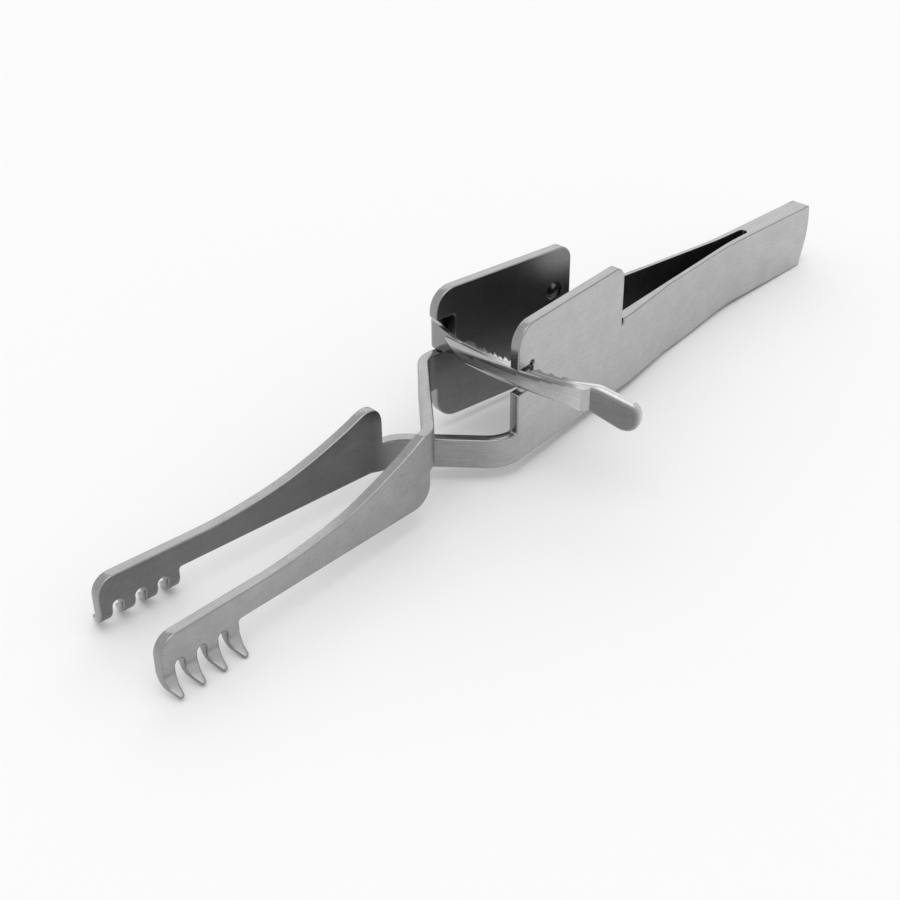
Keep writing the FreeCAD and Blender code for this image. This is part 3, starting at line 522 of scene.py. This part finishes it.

# %% [markdown]
# The leaves themselves. Each is one piece from the tail to the tips of its prongs, as the real one is, so it
# stands for two CAD nodes: the moving leaf and its welded end.
# The far plate has a recess for the rivet's inner head. The edge at the end of the near plate's slot is ground to a
# knife from both sides, for the rack's teeth to drop over. Both are carved, and then each leaf's place is baked into
# its mesh.

# %% The two leaves
RIVET_X, RIVET_Z, RECESS_R = 19.3, 12.2, 1.25
KNIFE_HALF, KNIFE_OUT, KNIFE_RUN = 0.15, 0.8, 0.74    # half the slot edge's thickness, and the bevel's far corner
plate_normal = Vector((sin(SPLAY), cos(SPLAY), 0))
plate_face = Vector((RIVET_X, MID - SLOPE * RIVET_X, 0)) + plate_normal * (SHEET / 2)
RIVET_SEAT = Matrix.Translation(plate_face + Z * RIVET_Z) @ Matrix.Rotation(-SPLAY, 4, "Z")
# The three numbers are painted shade for each leaf's jaw, web and strip; the near leaf's jaw and web are painted
# darker than the far leaf's.
near_leaf = finish_piece(leaf_mesh(near_outline, NEAR_LINE, painted_shade_by_place(0.38, 0.26, 0.66), True),
                         "near_spring_leaf", LEAF_STEEL, ("near_leaf", "near_leaf_end"))
far_leaf = finish_piece(leaf_mesh(far_outline, FAR_LINE, painted_shade_by_place(0.76, 0.62, 0.5), False),
                        "far_spring_leaf", LEAF_STEEL, ("far_leaf", "far_leaf_end"))
recess = bmesh.new()
bmesh.ops.create_cone(recess, cap_ends=True, segments=40, radius1=RECESS_R, radius2=RECESS_R, depth=1.0,
                      matrix=RIVET_SEAT @ Matrix.Translation((0, -SHEET, 0)) @ Matrix.Rotation(pi / 2, 4, "X"))
carve(far_leaf, recess, 1.0)
for way in (1, -1):
    knife = plan([(SLOT_BACK - 0.2, KNIFE_HALF, 0), (SLOT_BACK, KNIFE_HALF, 0),
                  (SLOT_BACK + KNIFE_RUN, KNIFE_OUT, 0), (SLOT_BACK - 0.2, KNIFE_OUT, 0)])
    thicken(knife, SLOT_LOW + 0.01, SLOT_TOP - 0.01, Z)
    if way < 0:
        mirror_y(knife)
    bend_leaf(knife, NEAR_LINE)
    mirror_y(knife)
    # the knife's faces in the slot are painted darker, as shade
    carve(near_leaf, knife, 0.6)
for piece, body in ((near_leaf, "near"), (far_leaf, "far")):
    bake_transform(piece)

# %% [markdown]
# The spacer lies between the welded ends. It is cut from the end of the leaves' own outline, so that all three
# share one bulged end. Seen from above, the gap between the blades stops in it with a small round end, which is
# carved out of its front by a cylinder and a block.

# %% The spacer
SPACER_FRONT = 54.0
bm = rounded([(SPACER_FRONT, END_LOW, 0)] + TAIL[2:6] + [(SPACER_FRONT, END_TOP + 0.1, 0)])
thicken(bm, -WELD_IN, WELD_IN)
cut_across(bm, X, END_STATIONS)
mark(bm)
for vert in bm.verts:
    vert.co.y *= end_narrowing(vert.co.x, vert.co.z)
GAP_R, GAP_END_X = 0.67, 54.9
gap_end = bmesh.new()
bmesh.ops.create_cone(gap_end, cap_ends=True, segments=48, radius1=GAP_R, radius2=GAP_R, depth=20,
                      matrix=Matrix.Translation((GAP_END_X, 0, 5)))
gap_cut = bmesh.new()
bmesh.ops.create_cube(gap_cut, size=1.0, matrix=Matrix.Translation((GAP_END_X - 0.5, 0, 5))
                      @ Matrix.Diagonal((1, 2 * GAP_R, 20, 1)))
spacer = finish_piece(bm, "tail_spacer_plate", LEAF_STEEL, ("tail_spacer",))
# the faces of the gap's round end are painted darker, as shade in the gap
for cutter in (gap_end, gap_cut):
    carve(spacer, cutter, 0.4)
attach(spacer, "tail")

# %% [markdown]
# The catch strip is drawn in plan as an L of even width and lifted to its height. It starts at the rivet, runs
# along the far plate with a small bow, and its leg comes forward through the plate's slot. Two slanting planes trim
# the leg to the narrow end that the bar is brazed to.

# %% The catch strip
STRIP, STRIP_LOW, STRIP_HIGH = 0.6, 9.8, 13.5      # thickness, lower and upper edge
LEG_X, LEG_END_Y, BOW = 0.65, 2.6, radians(7.6)
LEG_END_TOP, LEG_END_LOW, LEG_TAPER = 12.05, 10.4, 4.6     # the leg's narrow end, and the length it narrows in
SEAT, BEHIND_RIVET = 0.099, 1.4              # gap to the plate at the rivet, and the strip's length behind it
along, out = Vector((-cos(BOW), sin(BOW), 0)), Vector((sin(BOW), cos(BOW), 0))
inner = plate_face + plate_normal * SEAT
outer = inner + out * STRIP
inner_corner = inner + along * ((inner.x - LEG_X - STRIP) / cos(BOW))
outer_corner = outer + along * ((outer.x - LEG_X) / cos(BOW))
bm = plan([(spot.x, spot.y, radius) for spot, radius in (
    (inner - along * BEHIND_RIVET, 0), (outer - along * BEHIND_RIVET, 0), (outer_corner, 2 * STRIP),
    (Vector((LEG_X, LEG_END_Y)), 0), (Vector((LEG_X + STRIP, LEG_END_Y)), 0), (inner_corner, STRIP))])
thicken(bm, STRIP_LOW, STRIP_HIGH, Z)
for leg_end, edge, side in ((LEG_END_TOP, STRIP_HIGH, 1), (LEG_END_LOW, STRIP_LOW, -1)):
    cut = bmesh.ops.bisect_plane(bm, geom=bm.verts[:] + bm.edges[:] + bm.faces[:], dist=1e-5,
                                 plane_co=(0, LEG_END_Y, leg_end),
                                 plane_no=Vector((0, leg_end - edge, LEG_TAPER)) * side, clear_outer=True)
    bmesh.ops.contextual_create(bm, geom=[g for g in cut["geom_cut"] if isinstance(g, bmesh.types.BMEdge)])
bmesh.ops.recalc_face_normals(bm, faces=bm.faces)
dress(bm, [e for e in bm.edges if len(e.link_faces) == 2 and e.calc_face_angle() > radians(50)], 0.08, 2)
mark(bm)
strip = finish_piece(bm, "catch_strip_spring", STRIP_STEEL, ("catch_strip",))
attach(strip, "catch")

# %% [markdown]
# The bar of the rack is drawn unrolled, with its saw teeth along one side. The teeth's places follow from where the
# slot's edge meets them. Lifted to its height, the bar's front edges get two wide bevels, and the upper one is
# stretched downward to the bulged front. A thin crease parts it from the flat band on top. The whole bar is then
# laid on its arc about the roots of the blades, with its toothed side towards the tail. It narrows to a nib at the
# brazed end, and grows a little deeper towards the paddle.

# %% The toothed bar
PIVOT_X, FACE, DEPTH, BAR_TOP, BAR_HIGH = ROOT.x, 52.5, 1.75, 12.35, 2.4     # FACE is the toothed side's radius
BAR_START_Y, BAR_END_Y, PADDLE_LAP = 5, 13.5, 1.3    # both ends from the middle plane, and the lap on the paddle
BRAZE_X, BRAZE_Y = -2.52, 1.31               # the notch that the strip's leg is brazed into
TOOTH_PITCH, TOOTH_HIGH, TOOTH_HOLD, TEETH_BEHIND, TEETH = 1.68, 0.42, 0.55, 4, 8
TOOTH_FLAT, TOOTH_CREST = 0.75, 0.1
CREASE_Y, CREASE_HALF, CREASE_DEEP, FRONT_STRETCH = 1.06, 0.06, 0.08, 2.3
NIB, FLARE, RAMP = 3.6, 5, 0.75
CATCH_EASE = radians(1.5)                    # turn of the catch from the teeth just clear to a tooth down
EDGE_R = FACE - 0.06                         # radius at the slot's edge, with a little clearance
slot_middle = PIVOT_X * cos(SPLAY) + MID * sin(SPLAY)
slot_depth = slot_middle - sqrt(slot_middle ** 2 - PIVOT_X ** 2 - MID ** 2 + EDGE_R ** 2)
edge_angle = asin((MID - slot_depth * sin(SPLAY)) / EDGE_R)
pitch = TOOTH_PITCH / EDGE_R * FACE
first = edge_angle * FACE + TOOTH_HOLD - CATCH_EASE * (RIVET_X - PIVOT_X + FACE) - TEETH_BEHIND * pitch
bar_start, bar_end = -asin(BAR_START_Y / FACE) * FACE, asin(BAR_END_Y / FACE) * FACE + PADDLE_LAP
teeth = []
for i in range(TEETH):
    steep = first + i * pitch
    teeth += [(steep - pitch + TOOTH_CREST, 0, 0.05), (steep - TOOTH_FLAT, TOOTH_HIGH, 0.2),
              (steep, TOOTH_HIGH, 0.08), (steep, 0, 0.04)]
bm = plan([(bar_start, DEPTH, 0), (bar_start, 1.48, 0), (BRAZE_X, BRAZE_Y, 0), (BRAZE_X, 0, 0.1)] + teeth
          + [(bar_end + RAMP, 0.2, 0), (bar_end + RAMP, 0.95, 0), (bar_end, DEPTH, 0.25)])
thicken(bm, BAR_TOP - BAR_HIGH, BAR_TOP, Z)
for height, width in ((BAR_TOP, 0.6), (BAR_TOP - BAR_HIGH, 0.95)):
    dress(bm, [e for e in bm.edges if all(abs(v.co.y - DEPTH) + abs(v.co.z - height) < SAME for v in e.verts)],
          width, 8)
dress(bm, [e for e in bm.edges if len(e.link_faces) == 2 and e.calc_face_angle() > radians(48)], 0.05, 2)
cut_across(bm, X, steps(bar_start + 0.1, bar_start + 4.1, 0.25) + steps(bar_start + 5, bar_end - 0.5, 0.8))
cut_across(bm, Y, [CREASE_Y - CREASE_HALF, CREASE_Y, CREASE_Y + CREASE_HALF])
for vert in bm.verts:
    below = BAR_TOP - vert.co.z
    if abs(vert.co.y - CREASE_Y) < 0.01 and below < 0.01:
        vert.co.z -= CREASE_DEEP
    elif vert.co.y > CREASE_Y + 0.1 and below < 0.61:
        vert.co.z = BAR_TOP - below * FRONT_STRETCH
mark(bm)
for vert in bm.verts:
    angle, radius = vert.co.x / FACE, FACE + vert.co.y
    flare = min(1, max(0, (vert.co.x - (bar_end - FLARE)) / FLARE))
    nib = 1 - 0.95 * max(0, 1 - (vert.co.x - bar_start) / NIB) ** 2.6
    z = BAR_TOP - (BAR_TOP - vert.co.z) * (1 + 0.2 * flare * flare) * nib
    vert.co = (PIVOT_X - radius * cos(angle), -radius * sin(angle), z)
bmesh.ops.recalc_face_normals(bm, faces=bm.faces)
bar = finish_piece(bm, "rack_bar", RACK_STEEL, ("rack",))
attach(bar, "catch")

# %% [markdown]
# The thumb paddle is a flat spatula. Its blank is cut like the leaves', with a rim that is rounded much wider in
# front. It is drawn about its own middle and then set at the end of the bar's arc. Its front face is painted darker,
# as painted shade, which fades out over the front bevel, so that its rounded rim keeps the steel's full grey.

# %% The thumb paddle
PADDLE_FRONT, PADDLE_BACK, PADDLE_ROOT = -0.95, 0.3, -4.7
PADDLE_MIDDLE = 4.1                          # from BAR_END_Y along the arc to the paddle's middle
bm = rounded([(PADDLE_ROOT, 9.5, 0), (-3.4, 9.49, 0.8), (4.04, 6.51, 2.1), (4.04, 11.02, 1.5), (-1.2, 12.59, 3),
              (PADDLE_ROOT, BAR_TOP, 0)])
thicken(bm, PADDLE_FRONT, PADDLE_BACK)
for face_y, width in ((PADDLE_FRONT, 0.7), (PADDLE_BACK, 0.3)):
    dress(bm, [e for e in bm.edges if all(abs(v.co.y - face_y) < SAME and v.co.x > PADDLE_ROOT - 0.1 for v in e.verts)
               and any(v.co.x > PADDLE_ROOT + 0.1 for v in e.verts)], width, 6)
# painted shade: the front face is painted at 0.36 of the grey, fading out over 0.5 mm of the front bevel
mark(bm, lambda co: 0.36 + 0.64 * min(1, max(0, (co.y - PADDLE_FRONT) / 0.5)), 0.0)
middle = asin(BAR_END_Y / FACE) + PADDLE_MIDDLE / FACE
seat = (Matrix.Translation((PIVOT_X - FACE * cos(middle), -FACE * sin(middle), 0))
        @ Matrix.Rotation(middle - pi / 2, 4, "Z"))
paddle = finish_piece(bm, "thumb_paddle", PADDLE_STEEL, ("rack",), PLACE @ seat)
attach(paddle, "catch")

# %% [markdown]
# A rivet is turned, so its half profile is spun about its axis: the domed outer head, the shank and the inner
# head, which sits in a recess of the plate.

# %% The rivet


def dome(radius, height, base, way):
    """Half profile of a domed head, from its top to its edge."""
    ball = (radius ** 2 + height ** 2) / (2 * height)
    return [(ball * sin(a), base + way * (ball * cos(a) - ball + height))
            for a in steps(0.0, asin(radius / ball), asin(radius / ball) / 5)]


HEAD_R, INNER_HEAD_Y = 1.15, -0.86
bm = bmesh.new()
profile = (dome(HEAD_R, 0.33, 0.8, 1) + [(1.12, 0.74), (0.75, 0.72), (0.7, -0.8), (HEAD_R, INNER_HEAD_Y)]
           + dome(HEAD_R, 0.35, INNER_HEAD_Y, -1)[::-1][1:])
verts = [bm.verts.new((r, y, 0)) for r, y in profile]
edges = [bm.edges.new(pair) for pair in zip(verts, verts[1:])]
bmesh.ops.spin(bm, geom=verts + edges, cent=(0, 0, 0), axis=(0, 1, 0), angle=2 * pi, steps=40, use_merge=True)
bmesh.ops.remove_doubles(bm, verts=bm.verts, dist=SAME)
bmesh.ops.recalc_face_normals(bm, faces=bm.faces)
mark(bm)
rivet = finish_piece(bm, "strip_rivet", RIVET_STEEL, ("catch_rivet",), PLACE @ RIVET_SEAT)
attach(rivet, "far")

# %% [markdown]
# The stage is a plain pale floor under two soft lights. The world lights the scene evenly, and where the camera
# looks at it, or the steel mirrors it, it is nearly white.

# %% Floor, world and lights
floor_bm = bmesh.new()
bmesh.ops.create_grid(floor_bm, x_segments=1, y_segments=1, size=6)
floor_mesh = bpy.data.meshes.new("floor")
floor_bm.to_mesh(floor_mesh)
floor_bm.free()
floor = bpy.data.objects.new("floor", floor_mesh)
bpy.context.scene.collection.objects.link(floor)
floor_material = bpy.data.materials.new("pale floor")
floor_material.use_nodes = True
floor_shader = floor_material.node_tree.nodes["Principled BSDF"]
floor_shader.inputs["Base Color"].default_value = (0.94, 0.94, 0.94, 1)
floor_shader.inputs["Roughness"].default_value = 0.9
floor_shader.inputs["Specular IOR Level"].default_value = 0.0
floor_mesh.materials.append(floor_material)

world = bpy.data.worlds.new("studio")
bpy.context.scene.world = world
world.use_nodes = True
tree = world.node_tree
background = tree.nodes["Background"]
background.inputs["Color"].default_value = (1, 1, 1, 1)
rays = node(tree, "ShaderNodeLightPath")
seen = node(tree, "ShaderNodeMath", {0: rays.outputs["Is Camera Ray"], 1: rays.outputs["Is Glossy Ray"]},
            operation="ADD")
seen = node(tree, "ShaderNodeMath", {0: seen.outputs[0], 1: rays.outputs["Is Transmission Ray"]},
            operation="ADD", use_clamp=True)
WORLD_LIGHT, WORLD_SEEN = 0.75, 0.17         # strength for the light, and what is added where it is seen
strength = node(tree, "ShaderNodeMath", {0: seen.outputs[0], 1: WORLD_SEEN, 2: WORLD_LIGHT},
                operation="MULTIPLY_ADD")
tree.links.new(strength.outputs[0], background.inputs["Strength"])


def softbox(name, where, size, power):
    """A rectangular lamp that looks at the part."""
    light = bpy.data.lights.new(name, "AREA")
    light.shape, light.size, light.size_y, light.energy = "RECTANGLE", size[0], size[1], power
    lamp = bpy.data.objects.new(name, light)
    lamp.location = where
    lamp.rotation_euler = (-Vector(where)).to_track_quat("-Z", "Y").to_euler()
    bpy.context.scene.collection.objects.link(lamp)


softbox("behind the tail", (1.4, 1.45, 1.3), (2.6, 1.6), 8.0)
softbox("overhead", (-0.3, -0.4, 2.4), (2.2, 2.2), 17.0)

# %% [markdown]
# The camera stands where the photograph was taken from, above the jaws on the near side, looking down the part.

# %% Camera
CAMERA_SPOT = Vector((-112.87, -110.62, 99.74))
AHEAD, RIGHT = Vector((0.5906, 0.5999, -0.5398)).normalized(), Vector((0.709, -0.7052, -0.008))
camera = bpy.data.cameras.new("camera")
camera.lens, camera.sensor_width, camera.clip_start = 60.0, 36.0, 0.01
eye = bpy.data.objects.new("camera", camera)
right = (RIGHT - AHEAD * RIGHT.dot(AHEAD)).normalized()
view = Matrix((right, right.cross(AHEAD), -AHEAD)).transposed().to_4x4()
eye.matrix_world = Matrix.Translation(PLACE @ CAMERA_SPOT) @ turn @ view
bpy.context.scene.collection.objects.link(eye)
bpy.context.scene.camera = eye
bpy.context.scene.view_settings.view_transform = "Standard"
